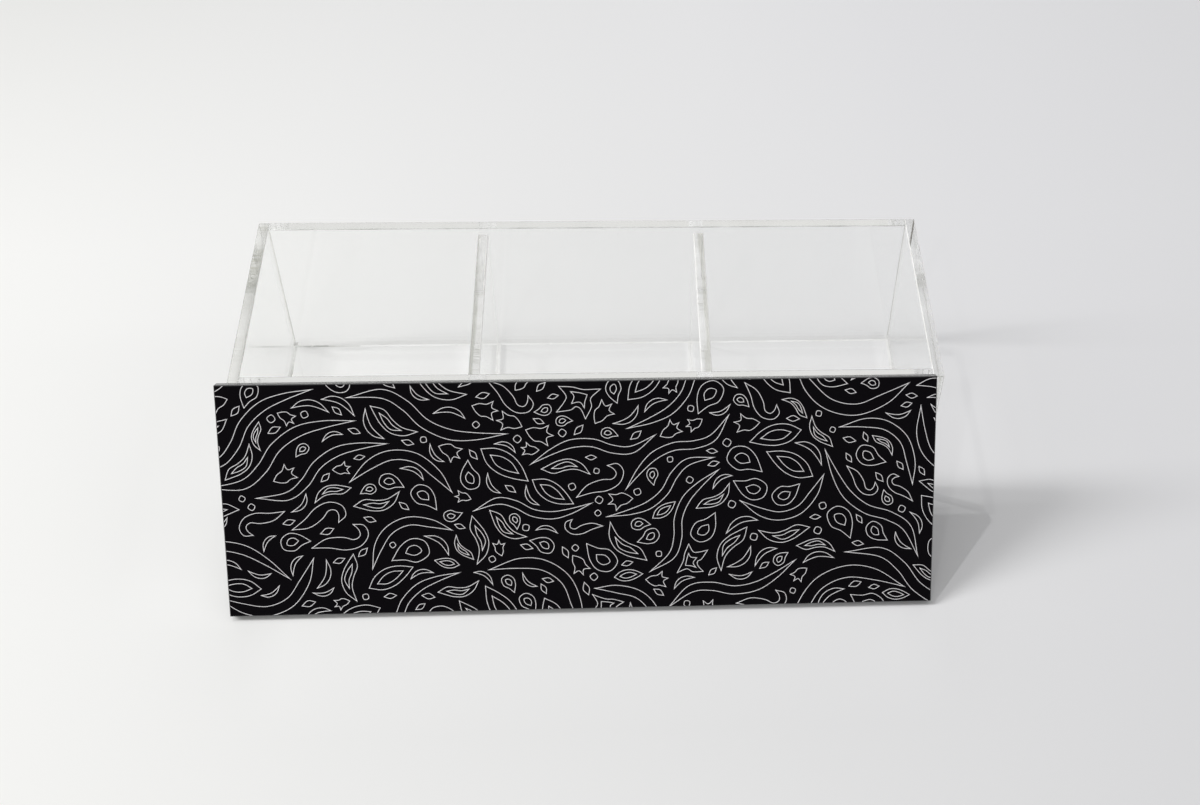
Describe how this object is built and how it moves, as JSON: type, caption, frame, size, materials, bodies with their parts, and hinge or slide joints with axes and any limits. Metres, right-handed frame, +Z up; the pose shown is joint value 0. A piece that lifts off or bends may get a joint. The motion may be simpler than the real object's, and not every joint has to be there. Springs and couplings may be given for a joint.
{
  "type": "compartment box",
  "caption": "Clear acrylic tray box with three open compartments in a row, and a loose black lid with engraved outlines that leans on its front.",
  "frame": {"origin": "centre of the box's underside, on the table", "axes": "+X to the right along the box, +Y to the back, away from the leaning lid, +Z up"},
  "size_m": [0.2584, 0.1376, 0.0711],
  "materials": {
    "clear_acrylic": "clear cast acrylic, gloss faces, cut edges slightly frosted",
    "black_acrylic": "black cast acrylic, gloss, with light grey engraved outlines"
  },
  "bodies": {
    "box": {"base_panel": "clear_acrylic", "front_wall": "clear_acrylic", "back_wall": "clear_acrylic", "left_end_wall": "clear_acrylic", "right_end_wall": "clear_acrylic", "left_divider": "clear_acrylic", "right_divider": "clear_acrylic"},
    "lid": {"lid_panel": "black_acrylic", "lid_locating_plate": "clear_acrylic"}
  },
  "joints": [
    {"name": "lid_lift", "type": "slide", "parent": "box", "child": "lid", "axis": [0, 0, 1], "range_m": [0, 0.08]}
  ]
}
